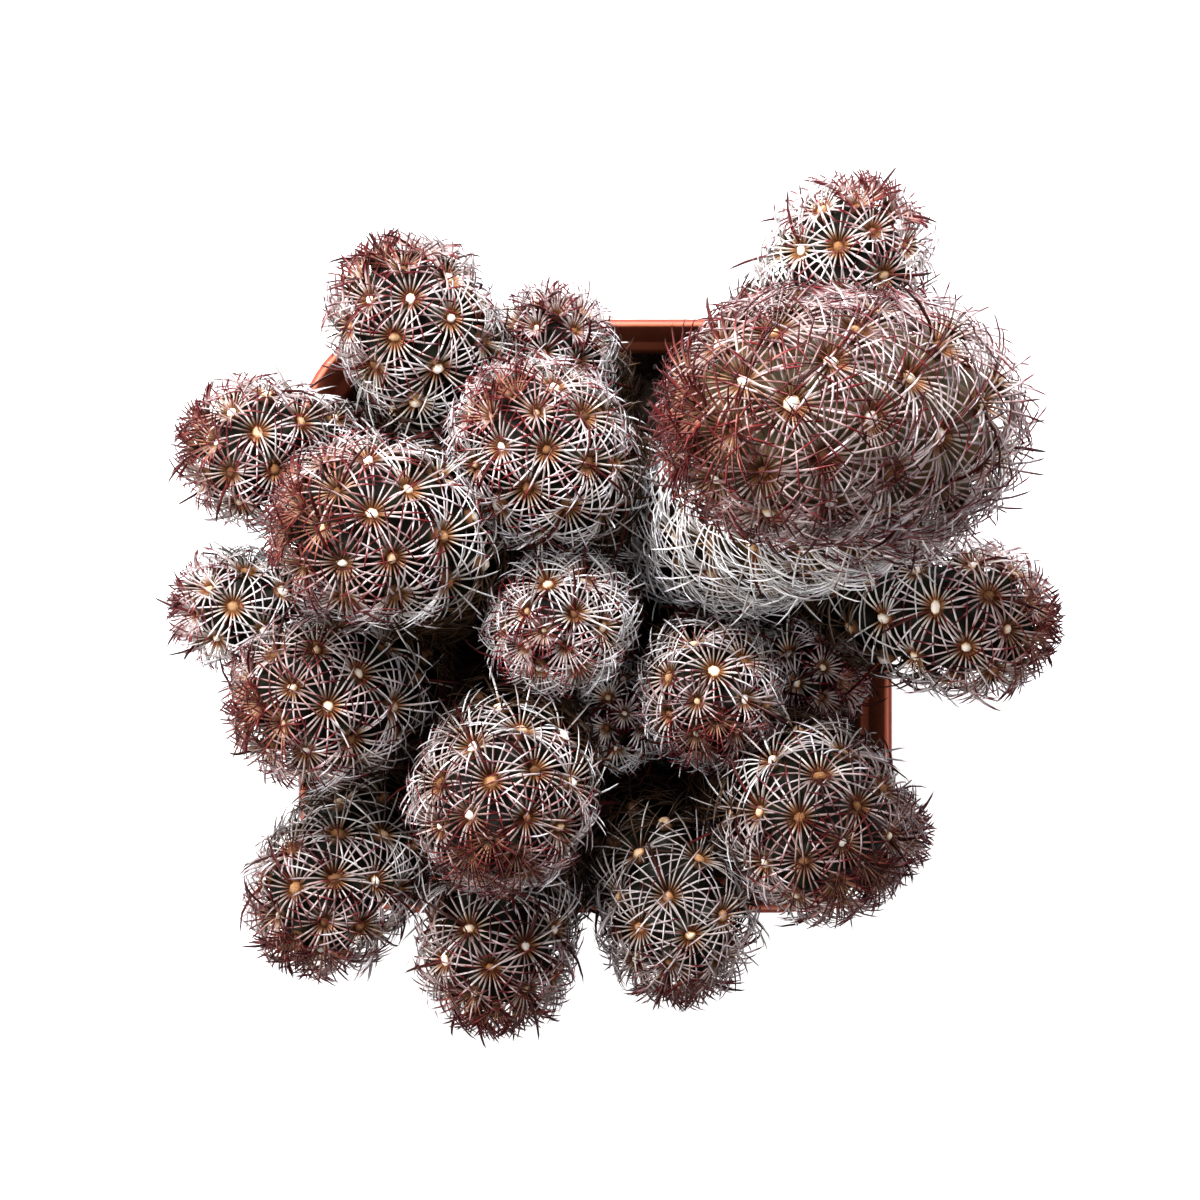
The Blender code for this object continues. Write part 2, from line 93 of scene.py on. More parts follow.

# base: where the stem leaves the soil. head: centre of its rounded end. facing and tilt: the way
# the end points, round from +X and down from upright, in degrees. radius: out to its tubercle tips.
# dull: the share of its spines painted darker, as painted shade. red: how much redder
# they are near the apex. white: the tone of its old spines, set low on some stems to paint them
# darker, as painted shade. fade: how far from the apex the young tone lasts. reach: how far from
# the apex they are redder. weathered: how far below the head its spines turn brown and
# darker, partly from weathering and partly as painted shade.
# handle and rise: how far the bend reaches back from the head and up from the base, as shares of
# the way between them. pale: how much lighter its skin is painted, as painted light. furry: how
# many times as many spines.
Stem = namedtuple(
    "Stem",
    "name base head facing tilt radius dull red white fade reach weathered handle rise pale furry",
    defaults=(WHITE_TONE, RED_FADE, RED_REACH, WEATHERING_AND_SHADE_FROM, HEAD_HANDLE, RISE_HANDLE, 0.0, 1.0),
)
STEMS = [
    Stem("stem_tall", (14.9, 11.9), (20.3, 21.4, 168), 188, 56, 10.7, 0.62, 0.28, 0.18, 6, 46, 78,
         0.41, 0.7, 1.25, 1.3),
    Stem("stem_02", (-18, 26), (-24, 38.8, 107), 120, 55, 8.3, 0.42, 0.03, 0.22, 8),
    Stem("stem_03", (-29, 17.3), (-44.9, 22.1, 98), 168, 60, 7.8, 0.25, 0.06, 0.22, 9),
    Stem("stem_04", (-28.8, 2.0), (-49, 1.2, 92), 180, 74, 5.7, 0.15, -0.15),
    Stem("stem_05", (-19.4, 6.8), (-28.6, 11.2, 120), 175, 48, 9.5, 0.3, 0.12, 0.2, 9),
    Stem("stem_06", (-1.3, 18.7), (-7.3, 21.9, 113), 125, 36, 9.3, 0.1, 0.12, 0.25, 4),
    Stem("stem_07", (-0.4, 32.9), (-5.6, 36.4, 93), 90, 30, 6.0, 0.2, -0.18),
    Stem("stem_08", (-4.2, -1.2), (-4.7, -0.6, 107), 225, 25, 6.9, 0.15, -0.12, 0.25, 6, furry=1.15),
    Stem("stem_09", (-27, -11.3), (-36.2, -10.6, 107), 195, 45, 8.9, 0.45, 0.08, 0.1, 10),
    Stem("stem_10", (-26, -24.4), (-35.8, -37.1, 98), 238, 50, 8.3, 0.75, 0.1, 0.055, 9),
    Stem("stem_11", (-12, -15), (-11.7, -23.4, 113), 252, 32, 9.5, 0.62, 0.14, 0.06, 8),
    Stem("stem_12", (-10, -31), (-12.9, -43.9, 101), 268, 62, 8.2, 0.7, 0.14, 0.05, 9),
    Stem("stem_13", (3.4, -13.2), (3.6, -13.2, 92), 265, 8, 5.0, 0.0, -0.3, 0.23, 6),
    Stem("stem_14", (15.9, -8.4), (15.2, -10.4, 104), 270, 30, 7.2, 0.65, 0.04, 0.065, 7),
    Stem("stem_15", (28, -9.6), (29.8, -8.3, 88), 330, 38, 5.1, 0.0, -0.1, 0.23, 7),
    Stem("stem_16", (21.4, -23.8), (29.2, -26.8, 111), 307, 38, 9.6, 0.72, 0.16, 0.05, 9),
    Stem("stem_17", (4.2, -29.8), (11, -40.4, 98), 272, 60, 8.3, 1.0, 0.06, 0.05, 6),
    Stem("stem_18", (30.6, 6.2), (50, -0.4, 103), 352, 68, 7.9, 0.2, 0.1, 0.18, 9),
    Stem("stem_19", (21, 31), (32.9, 46.4, 108), 70, 56, 8.1, 0.0, 0.0, 0.25, 7),
    Stem("stem_20", (33.4, -29.2), (39.2, -30, 87), 0, 62, 4.2, 0.3, 0.0),
]

# Tubercles: the gap between their tips, which tightens towards the apex, and their relief.
# HEAD_REACH: how far the dome of the head goes, as a share of the stem's rounded end. It has faded
# out at 1 / HEAD_EDGE of that.
GAP_BASE = 4.2 * MM
GAP_PER_RADIUS = 0.3
GAP_AT_APEX = 0.46
GAP_SETTLES = 6.5 * MM
HEX_SHARE = 0.866
LOWEST_AREOLE = 4.0 * MM
HEAD_REACH = 1.5
HEAD_EDGE = 0.8
SKIN_STEP = 1.1 * MM
RELIEF_SHARE = 0.36
RELIEF_STARTS = 10.0 * MM
TUBERCLES = {"Reach": 0.56, "Power": 1.3, "Lumps": 0.15 * MM}

# Spines: how many in a fan, and how long. SPINE_PROFILE is their radius at each height. LEANS are
# how much more they may rise to clear a neighbour, where that gives BETTER times the room. The room
# is looked for from FREE_FROM up a spine, and FREE_SHARE of it is filled.
SPINES = 22
SPINE_BASE = 5.6 * MM
SPINE_PER_RADIUS = 0.31
SEEDS_PER_STEM = 20
SPINE_SIDES = 3
SPINE_PROFILE = ((1.1, 0.0), (1.0, 0.32), (0.95, 0.6), (0.72, 0.84))
ROOT_OUT = 0.1 * MM
YOUNG_SHORTER = 0.3
YOUNG_STRAIGHTER = 0.5
STEEPEST = math.radians(82)
LEANS = (0.0, 0.35, 0.75)
BETTER = 1.15
FREE_FROM = 0.12
FREE_SHARE = 0.9
LEAST_ROOM = 0.3

# What all spines share, the fans, and the long dark spines among them. Grown is how far from the
# apex a spine is no longer young. A young one rises more, and it is shorter and straighter.
ALL_SPINES = {"Bend": 0.5, "Grown": 9 * MM}
FANS = {
    "Chance": 1.0, "Thickness": 0.158 * MM, "Ring": 0.5 * MM, "Rise": math.radians(30),
    "Young Rise": math.radians(26), "Tone": 0.0, "Tone Spread": 0.1,
}
LONG_SPINES = {
    "Spines": 1, "Chance": 0.55, "Length": 10.2 * MM, "Thickness": 0.22 * MM, "Ring": 0.3 * MM,
    "Rise": math.radians(42), "Young Rise": math.radians(12), "Tone": 0.95, "Tone Spread": 0.0,
    "Seed": 900,
}

# Tones: where a spine's colour lies across the map, from brown with weathering and painted shade to
# young
TONE_WIDTH = 0.012
LOWEST_TONE = 0.02
HIGHEST_TONE = 0.86
YOUNG_TONE = 0.94
# The brown tone, from weathering and as painted shade, and how far it takes to be full
WEATHERED_AND_SHADED_TONE = -0.08
WEATHERING_AND_SHADE_OVER = 13 * MM

# The map's lower half holds bright spines, and its upper half the same ones painted darker, as
# painted shade. The painted shade is full out to the reach below from the apex, and gone at twice
# that.
BAND = 0.45
PAINTED_SHADE_BAND = 0.5
PAINTED_SHADE_TINT = (0.55, 0.5, 0.49)
PAINTED_SHADE_REACH = 32 * MM

# Spine colours, each as (place up the spine, red, green, blue). The young ones come with the tones
# between which they take over: white, lilac, wine, rust, and the dark red of the long spines.
# Brown from weathering, darker as painted shade deep in the clump
WEATHERED_AND_SHADED_SPINE = ((0.0, 44, 28, 18), (0.25, 96, 74, 52), (1.0, 66, 44, 32))
SPINE_COLOURS = (
    (0.04, 0.13, ((0.0, 104, 58, 30), (0.1, 166, 122, 84), (0.24, 228, 223, 216),
     (0.9, 240, 241, 246), (1.0, 150, 112, 112))),
    (0.2, 0.34, ((0.0, 108, 58, 28), (0.12, 170, 122, 84), (0.26, 226, 214, 204),
     (0.7, 224, 216, 222), (0.8, 118, 36, 40), (1.0, 50, 6, 12))),
    (0.4, 0.52, ((0.0, 100, 52, 28), (0.12, 160, 114, 82), (0.25, 212, 196, 192),
     (0.56, 204, 176, 176), (0.68, 116, 32, 34), (1.0, 42, 4, 10))),
    (0.6, 0.78, ((0.0, 96, 50, 28), (0.18, 192, 152, 122), (0.42, 164, 106, 88),
     (0.62, 110, 38, 38), (1.0, 44, 4, 10))),
    (0.9, 0.92, ((0.0, 120, 70, 40), (0.25, 92, 28, 24), (1.0, 30, 2, 8))),
)

# Tufts of wool on the tubercles: distance from the middle, height and whiteness of each ring
TUFTS = {"Size": 1.5 * MM, "Seed": 950}
TUFT_TANGLE = 0.6 * MM
TUFT_SIDES = 7
TUFT_PROFILE = ((1.0, -0.3, 0.0), (0.68, 0.22, 0.3), (0.38, 0.5, 0.95))
TUFT_TOP = 0.7

# What the meshes carry for the growths alone
SCRAPS = ("out", "up", "share", "redness", "dome", "dull", "turn", "free", "sparse", "long", "way",
          "bow", "tone", "band", "along", "around", "fluff", "gap", "depth")

# Grit on the soil: how close and how dense it lies, and how wide it is. It lies where the soil is
# this level and no deeper than this, and keeps this many times its width from everything else.
GRIT = {
    "Closest": 1.3 * MM, "Density": 900000.0, "Small": 0.5 * MM, "Large": 1.7 * MM, "Seed": 7,
}
GRIT_LEVEL = 0.7
GRIT_DEEPEST = 2 * MM
GRIT_CLEAR = 1.1

# Camera: straight above the pot, close enough for the tall stem to look a third larger
CAMERA_PLACE = (0.7 * MM, 2.3 * MM, 425 * MM)
LENS = 73.5
SENSOR = 36.0

# Lamps: place, width, power and tint. The backdrop lamp lights the floor alone.
LAMPS = {
    "key": ((-0.05, 0.18, 0.3), 0.1, 1.35, (0.98, 0.98, 1.0)),
    "side": ((-0.5, -0.06, 0.36), 0.3, 2.4, (1.0, 0.98, 0.92)),
    "back": ((0.42, 0.4, 0.16), 0.3, 1.2, (0.96, 0.98, 1.0)),
    "fill": ((0.1, -0.06, 0.62), 0.2, 0.9, (0.97, 0.94, 0.94)),
    "backdrop": ((0, 0, 1.6), 1.0, 17.0, (1.0, 1.0, 1.0)),
}
LAMPS_AIM = (0, 0, 90 * MM)
FLOOR_REACH = 9

# The sky: brightest towards the window, as light from opposite the window to it
WINDOW = (-0.26, 0.52, 0.81)
SKY = (
    (0.0, (0.12, 0.12, 0.12, 1.0)), (0.5, (0.17, 0.17, 0.175, 1.0)), (1.0, (0.95, 0.98, 1.06, 1.0)),
)
SKY_STRENGTH = 0.62


class Field:
    """A value that flows through a node tree. It adds, multiplies and compares like a number."""

    def __init__(self, tree, socket):
        self.tree = tree
        self.socket = socket

    def also(self, key):
        """Another output of the same node."""
        return Field(self.tree, find_socket(self.socket.node.outputs, key))

    def is_vector(self):
        return self.socket.type in ("VECTOR", "RGBA")

    def combine(self, operation, other):
        if self.is_vector():
            return self.tree.vector(operation, self, other)
        return self.tree.math(operation, self, other)

    def __add__(self, other):
        return self.combine("ADD", other)

    def __sub__(self, other):
        return self.combine("SUBTRACT", other)

    def __mul__(self, other):
        if not self.is_vector():
            return self.tree.math("MULTIPLY", self, other)
        if isinstance(other, Field) and other.is_vector():
            return self.tree.vector("MULTIPLY", self, other)
        return self.tree.add("ShaderNodeVectorMath", {0: self, 3: other}, operation="SCALE")

    def __truediv__(self, other):
        return self.combine("DIVIDE", other)

    def __gt__(self, other):
        return self.tree.math("GREATER_THAN", self, other)

    def __lt__(self, other):
        return self.tree.math("LESS_THAN", self, other)


def find_socket(sockets, key):
    """The socket with this place, identifier or name."""
    if isinstance(key, int):
        return sockets[key]
    for socket in sockets:
        if socket.identifier == key:
            return socket
    return sockets[key]


class Tree:
    """A node tree that is built one node at a time."""

    def __init__(self, group):
        self.group = group

    def add(self, kind, inputs=None, out=0, **settings):
        """Adds a node, fills its inputs, and gives the output that out names."""
        node = self.group.nodes.new(kind)
        for name, value in settings.items():
            setattr(node, name, value)
        for key, value in (inputs or {}).items():
            self.feed(find_socket(node.inputs, key), value)
        return Field(self, find_socket(node.outputs, out))

    def feed(self, socket, value):
        """Links a field to a socket, or sets a plain value on it."""
        if isinstance(value, Field):
            self.group.links.new(value.socket, socket)
        else:
            socket.default_value = value

    def math(self, operation, *values):
        return self.add("ShaderNodeMath", dict(enumerate(values)), operation=operation)

    def vector(self, operation, *values, out=0):
        return self.add("ShaderNodeVectorMath", dict(enumerate(values)), out, operation=operation)

    def remap(self, value, from_low, from_high, to_low=0.0, to_high=1.0, smooth=False):
        ends = {"From Min": from_low, "From Max": from_high, "To Min": to_low, "To Max": to_high}
        kind = "SMOOTHSTEP" if smooth else "LINEAR"
        return self.add("ShaderNodeMapRange", {"Value": value, **ends}, interpolation_type=kind)

    def mix(self, share, low, high):
        """A colour between two colours."""
        inputs = {"Factor_Float": share, "A_Color": low, "B_Color": high}
        return self.add("ShaderNodeMix", inputs, "Result_Color", data_type="RGBA")

    def blend(self, value, stops):
        """A colour from (place, light) stops."""
        shade = self.add("ShaderNodeValToRGB", {0: value})
        elements = shade.socket.node.color_ramp.elements
        while len(elements) < len(stops):
            elements.new(0.5)
        for element, (place, light) in zip(elements, stops):
            element.position = place
            element.color = light
        return shade

    def ramp(self, value, *stops):
        """A colour from (place, red, green, blue) stops, as they look on a screen."""
        return self.blend(value, [(place, colour(*shade)) for place, *shade in stops])


class Paint(Tree):
    """A material that is built one node at a time."""

    def __init__(self, name, roughness):
        self.material = bpy.data.materials.new(name)
        self.material.use_nodes = True
        super().__init__(self.material.node_tree)
        self.set("Roughness", roughness)

    def set(self, label, value):
        """Sets or links an input of the shader."""
        self.feed(self.group.nodes["Principled BSDF"].inputs[label], value)

    def bump(self, height, distance):
        self.set("Normal", self.add("ShaderNodeBump", {"Height": height, "Distance": distance}))

    def carried(self, name):
        """What the mesh carries under this name."""
        return self.add("ShaderNodeAttribute", out="Fac", attribute_name=name)

    def noise(self, scale, detail=4.0, roughness=0.55):
        """Noise that stays on the object, with its largest lumps 1 / scale metres across."""
        place = self.add("ShaderNodeTexCoord", out="Object")
        inputs = {"Vector": place, "Scale": scale, "Detail": detail, "Roughness": roughness}
        return self.add("ShaderNodeTexNoise", inputs)


class Growth(Tree):
    """A Geometry Nodes tree with named inputs, which makes a mesh out of another one."""

    # Inputs that are not plain numbers
    KINDS = {
        "Areoles": "Object", "Spine": "Object", "Tuft": "Object", "Around": "Collection",
        "Spines": "Int", "Seed": "Int", "Material": "Material",
    }

    def __init__(self, name, *labels):
        super().__init__(bpy.data.node_groups.new(name, "GeometryNodeTree"))
        sockets = self.group.interface
        for side in ("INPUT", "OUTPUT"):
            sockets.new_socket("Mesh", in_out=side, socket_type="NodeSocketGeometry")
        self.keys = {}
        for label in (*labels, "Material"):
            kind = "NodeSocket" + self.KINDS.get(label, "Float")
            socket = sockets.new_socket(label, in_out="INPUT", socket_type=kind)
            self.keys[label] = socket.identifier
        start = self.group.nodes.new("NodeGroupInput")
        self.mesh = Field(self, start.outputs[0])
        self.size = {label: Field(self, start.outputs[label]) for label in self.keys}

    def named(self, name, kind="FLOAT"):
        """What the mesh carries under this name."""
        return self.add("GeometryNodeInputNamedAttribute", {"Name": name}, data_type=kind)

    def store(self, mesh, as_kind=None, domain="POINT", **values):
        """The mesh with these values on it under their names."""
        for name, value in values.items():
            inputs = {"Geometry": mesh, "Name": name, "Value": value}
            usual = "FLOAT_VECTOR" if value.is_vector() else "FLOAT"
            mesh = self.add(
                "GeometryNodeStoreNamedAttribute", inputs, data_type=as_kind or usual, domain=domain
            )
        return mesh

    def random(self, low, high, which):
        """A number between low and high, another one for each point and each which."""
        return self.add("FunctionNodeRandomValue", {
            "Min_001": low, "Max_001": high, "Seed": self.size["Seed"] + float(which),
            "ID": self.add("GeometryNodeInputIndex"),
        }, "Value_001")

    def random_vector(self, low, high, first):
        """Three such numbers as one vector, from the first which on."""
        return self.add("ShaderNodeCombineXYZ", {
            axis: self.random(low, high, which) for which, axis in enumerate("XYZ", first)
        })

    def pick(self, which, first, second):
        """The second value where which holds, and the first elsewhere."""
        inputs = {"Switch": which, "False": first, "True": second}
        kind = "VECTOR" if second.is_vector() else "FLOAT"
        return self.add("GeometryNodeSwitch", inputs, input_type=kind)

    def drop(self, points, chosen):
        """The points without the chosen ones."""
        return self.add("GeometryNodeDeleteGeometry", {"Geometry": points, "Selection": chosen})

    def nearest(self, mesh, element):
        """How far away the nearest of another mesh's points or faces is."""
        inputs = {"Geometry": mesh}
        return self.add("GeometryNodeProximity", inputs, "Distance", target_element=element)

    def move(self, points, offset):
        return self.add("GeometryNodeSetPosition", {"Geometry": points, "Offset": offset})

    def realize(self, mesh):
        return self.add("GeometryNodeRealizeInstances", {"Geometry": mesh})

    def object_mesh(self, label):
        """The mesh of the object that this input names."""
        return self.add("GeometryNodeObjectInfo", {"Object": self.size[label]}, "Geometry")

    def surroundings(self):
        """The meshes in the collection that the input Around names, as one."""
        inputs = {"Collection": self.size["Around"]}
        return self.realize(
            self.add("GeometryNodeCollectionInfo", inputs, transform_space="ORIGINAL")
        )

    def plant(self, points, label, way, scale):
        """The object that this input names on each point, its top the way that this name holds."""
        turn = self.add(
            "FunctionNodeAlignRotationToVector", {"Vector": self.named(way, "FLOAT_VECTOR")},
            axis="Z",
        )
        return self.realize(self.add("GeometryNodeInstanceOnPoints", {
            "Points": points, "Instance": self.object_mesh(label), "Rotation": turn,
            "Scale": scale,
        }))

    def finish(self, mesh):
        """Ends the tree: real faces, shaded smooth, in the material that is asked for."""
        smooth = self.add("GeometryNodeSetShadeSmooth", {"Geometry": self.realize(mesh)})
        inputs = {"Geometry": smooth, "Material": self.size["Material"]}
        end = self.group.nodes.new("NodeGroupOutput")
        self.feed(end.inputs[0], self.add("GeometryNodeSetMaterial", inputs))

    def grow(self, name, source, sizes):
        """Runs the tree on an object, and gives the result as a plain mesh object."""
        modifier = source.modifiers.new(self.group.name, "NODES")
        modifier.node_group = self.group
        for label, value in sizes.items():
            modifier[self.keys[label]] = value
        graph = bpy.context.evaluated_depsgraph_get()
        mesh = bpy.data.meshes.new_from_object(source.evaluated_get(graph), depsgraph=graph)
        source.modifiers.remove(modifier)
        mesh.name = name
        return new_object(name, mesh)


def new_object(name, data):
    obj = bpy.data.objects.new(name, data)
    bpy.context.scene.collection.objects.link(obj)
    return obj


def new_mesh(name, points, faces=()):
    mesh = bpy.data.meshes.new(name)
    mesh.from_pydata([tuple(point) for point in points], [], faces)
    return mesh


def carry(mesh, domain="POINT", **values):
    """Stores numbers or directions on a mesh under their names."""
    for name, array in values.items():
        array = np.asarray(array, np.float32)
        kind, key = ("FLOAT", "value") if array.ndim == 1 else ("FLOAT_VECTOR", "vector")
        attribute = mesh.attributes.new(name, kind, domain)
        attribute.data.foreach_set(key, array.ravel())


def forget(mesh, *names):
    for name in names:
        attribute = mesh.attributes.get(name)
        if attribute:
            mesh.attributes.remove(attribute)


def discard(*objects):
    for obj in objects:
        bpy.data.objects.remove(obj, do_unlink=True)


def colour(red, green, blue):
    """A colour given as it looks on a screen, from 0 to 255, as light."""
    shares = [value / 255 for value in (red, green, blue)]
    light = [s / 12.92 if s <= 0.04045 else ((s + 0.055) / 1.055) ** 2.4 for s in shares]
    return (*light, 1.0)


# Materials


def spine_material():
    """Spine colours: across the map from brown with weathering and painted shade over white to young
    rust, up it their length, once bright and once painted darker, as painted shade."""
    paint = Paint("cactus spines", 0.42)
    place = paint.add("ShaderNodeUVMap", uv_map=UV_MAP)
    tone = paint.add("ShaderNodeSeparateXYZ", {0: place})
    height = tone.also("Y")
    # The map's upper half is the darker painted-shade copy
    dull = height > (BAND + PAINTED_SHADE_BAND) / 2
    along = (height - dull * PAINTED_SHADE_BAND) * (1 / BAND)
    shade = paint.ramp(along, *WEATHERED_AND_SHADED_SPINE)
    for start, full, stops in SPINE_COLOURS:
        shade = paint.mix(paint.remap(tone, start, full), shade, paint.ramp(along, *stops))
    uneven = paint.add("ShaderNodeTexNoise", {"W": tone, "Scale": 260.0}, noise_dimensions="1D")
    # Painted shade: the tint that darkens the painted-shade copy
    tint = paint.mix(dull, (1.0, 1.0, 1.0, 1.0), (*PAINTED_SHADE_TINT, 1.0))
    paint.set("Base Color", shade * paint.remap(uneven, 0.3, 0.7, 0.6, 1.14) * tint)
    paint.set("Specular IOR Level", 0.28)
    return paint.material


def skin_material():
    """Dark green tubercles, painted nearly black in their valleys as painted shade and lighter on
    their tips as painted light, corky brown towards the soil.
    """
    paint = Paint("cactus skin", 0.55)
    speckle = paint.noise(900.0)
    patches = paint.noise(160.0)
    # Painted shade in the valleys and painted light on the tubercles, as the mesh carries them
    green = paint.ramp(
        (paint.carried("tip") + (speckle - 0.5) * 0.35) * 0.5,
        (0.0, 18, 14, 9), (0.22, 33, 33, 23), (0.5, 60, 66, 48), (0.85, 108, 90, 64),
    )
    cork = paint.ramp(speckle, (0.3, 44, 32, 22), (0.7, 98, 78, 56))
    old = paint.remap(paint.carried("age") + (patches - 0.5) * 0.02, 34 * MM, 58 * MM)
    paint.set("Base Color", paint.mix(old, green, cork))
    paint.set("Specular IOR Level", 0.15)
    paint.bump(speckle, 0.15 * MM)
    return paint.material


def wool_material():
    """White wool in the middle of an areole, on a brown felt from which the spines grow."""
    paint = Paint("areole wool", 0.9)
    fibre = paint.noise(3200.0, 3.0, 0.7)
    paint.set("Base Color", paint.ramp(
        paint.carried("wool") + (fibre - 0.5) * 0.3,
        (0.0, 84, 54, 32), (0.3, 148, 104, 66), (0.52, 216, 190, 156), (0.76, 240, 231, 220),
    ))
    paint.bump(fibre, 0.12 * MM)
    return paint.material


def pot_material():
    """Matte terracotta plastic, a little dusty and scuffed, its inner walls painted paler as
    painted light that lifts their shade."""
    paint = Paint("terracotta plastic", 0.5)
    cloud = paint.noise(45.0, 5.0)
    grain = paint.noise(2600.0, 2.0)
    place = paint.add("ShaderNodeTexCoord", out="Object")
    stretched = paint.add("ShaderNodeMapping", {"Vector": place, "Scale": (260.0, 260.0, 24.0)})
    scuffs = paint.add("ShaderNodeTexNoise", {"Vector": stretched, "Scale": 1.0, "Detail": 6.0})
    clay = paint.ramp(cloud, (0.3, 138, 64, 45), (0.5, 150, 72, 52), (0.72, 162, 84, 63))
    normal = paint.add("ShaderNodeNewGeometry", out="Normal")
    level = paint.vector("MULTIPLY", place, (1.0, 1.0, 0.0))
    outward = paint.vector("DOT_PRODUCT", normal, level, out="Value")
    # Painted light: the inner walls are painted paler than the outside
    inside = paint.remap(outward, 0.0, 16 * MM, 1.0, 0.0)
    clay = paint.mix(inside, clay, colour(226, 134, 104))
    dust = paint.remap(scuffs, 0.62, 0.8, 0.0, 0.3)
    paint.set("Base Color", paint.mix(dust, clay, colour(190, 136, 116)))
    paint.set("Roughness", paint.remap(cloud, 0.3, 0.7, 0.42, 0.58))
    paint.bump(grain + scuffs * 0.6, 0.05 * MM)
    return paint.material


def soil_material():
    """Damp peat with lighter fibres."""
    paint = Paint("potting soil", 0.92)
    crumbs = paint.noise(420.0, 6.0, 0.7)
    shade = paint.ramp(crumbs, (0.3, 22, 15, 11), (0.55, 52, 37, 27), (0.75, 98, 76, 56))
    paint.set("Base Color", shade)
    paint.bump(crumbs, 1.2 * MM)
    return paint.material


def grit_material():
    """Crumbs of peat and bark, grey grit, and a few white grains."""
    paint = Paint("soil grit", 0.85)
    speckle = paint.noise(2400.0)
    shade = paint.ramp(
        paint.carried("kind"), (0.0, 34, 23, 16), (0.45, 64, 44, 30), (0.7, 96, 72, 50),
        (0.84, 112, 102, 92), (0.93, 122, 112, 100), (0.95, 216, 210, 200),
    )
    paint.set("Base Color", shade * paint.remap(speckle, 0.3, 0.7, 0.6, 1.15))
    paint.bump(speckle, 0.2 * MM)
    return paint.material


def floor_material():
    """Pale, with hardly visible clouds."""
    paint = Paint("pale floor", 0.9)
    cloud = paint.noise(3.0)
    paint.set("Base Color", paint.mix(cloud, colour(200, 200, 200), colour(204, 204, 204)))
    return paint.material


# Pot


def rounded_square(width, corner, z):
    """Points of a rounded square centred on the Z axis, anticlockwise seen from above."""
    reach = width / 2 - corner
    points = []
    for quarter in range(4):
        middle = math.radians(45 + 90 * quarter)
        centre_x = math.copysign(reach, math.cos(middle))
        centre_y = math.copysign(reach, math.sin(middle))
        for step in range(CORNER_STEPS + 1):
            angle = math.radians(90 * (quarter + step / CORNER_STEPS))
            x = centre_x + corner * math.cos(angle)
            y = centre_y + corner * math.sin(angle)
            points.append(Vector((x, y, z)))
    return points


def wall_ring(z, inset=0.0):
    """Width, corner and height of the wall below the collar, from its outside inwards."""
    top_width = POT_WIDTH - 2 * (COLLAR_TAPER + COLLAR_STEP)
    top_corner = POT_CORNER - COLLAR_CORNER_EXTRA
    width = BASE_WIDTH + (top_width - BASE_WIDTH) * z / COLLAR_FOOT
    corner = BASE_CORNER + (top_corner - BASE_CORNER) * z / COLLAR_FOOT
    return width - 2 * inset, corner - inset, z


def pot_rings():
    """Width, corner and height of each ring of the wall, up the outside and down the inside."""
    collar_width = POT_WIDTH - 2 * COLLAR_TAPER
    collar_corner = POT_CORNER - COLLAR_TAPER
    under = FOOT_HEIGHT / 2
    lip = POT_HEIGHT - LIP_ROUND
    mouth = POT_WIDTH - 2 * WALL
    return [
        wall_ring(0, under),
        wall_ring(under),
        wall_ring(COLLAR_FOOT),
        (collar_width, collar_corner, COLLAR_FOOT + COLLAR_STEP / 2),
        (POT_WIDTH, POT_CORNER, lip),
        (POT_WIDTH - 2 * LIP_ROUND, POT_CORNER - LIP_ROUND, POT_HEIGHT),
        (mouth + LIP_ROUND, POT_CORNER - WALL + LIP_ROUND / 2, POT_HEIGHT),
        (mouth, POT_CORNER - WALL, lip),
        (collar_width - 2 * WALL, collar_corner - WALL, COLLAR_FOOT),
        wall_ring(COLLAR_FOOT - COLLAR_STEP, WALL),
        wall_ring(FLOOR_TOP, WALL),
    ]


def loft(sections):
    """A closed mesh that joins equal rings of points, from the first to the last."""
    bm = bmesh.new()
    rings = [[bm.verts.new(point) for point in section] for section in sections]
    count = len(rings[0])
    for lower, upper in zip(rings, rings[1:]):
        for i in range(count):
            j = (i + 1) % count
            bm.faces.new((lower[i], lower[j], upper[j], upper[i]))
    bm.faces.new(rings[0][::-1])
    bm.faces.new(rings[-1])
    return bm


def to_object(name, bm):
    mesh = bpy.data.meshes.new(name)
    bm.to_mesh(mesh)
    bm.free()
    return new_object(name, mesh)


def drain_cutters(quarter):
    """A channel from the centre pad out under the wall, and a round hole up through the floor."""
    angle = math.radians(90 * quarter)
    along = Vector((math.cos(angle), math.sin(angle), 0))
    across = Vector((-along.y, along.x, 0))
    size = along * (BASE_WIDTH - CENTRE_PAD) + across * CHANNEL_WIDTH
    size.z = 2 * FOOT_HEIGHT
    channel = bmesh.new()
    bmesh.ops.create_cube(channel, size=1.0)
    bmesh.ops.scale(channel, vec=[abs(side) for side in size], verts=channel.verts)
    bmesh.ops.translate(channel, vec=along * (CENTRE_PAD + BASE_WIDTH) / 2, verts=channel.verts)
    hole = bmesh.new()
    corner_radius = HOLE_RADIUS / math.cos(math.pi / HOLE_SIDES)
    bmesh.ops.create_cone(
        hole, cap_ends=True, segments=HOLE_SIDES, radius1=corner_radius, radius2=corner_radius,
        depth=4 * FLOOR_TOP,
    )
    bmesh.ops.translate(hole, vec=along * HOLE_OUT, verts=hole.verts)
    return [to_object("channel", channel), to_object("hole", hole)]


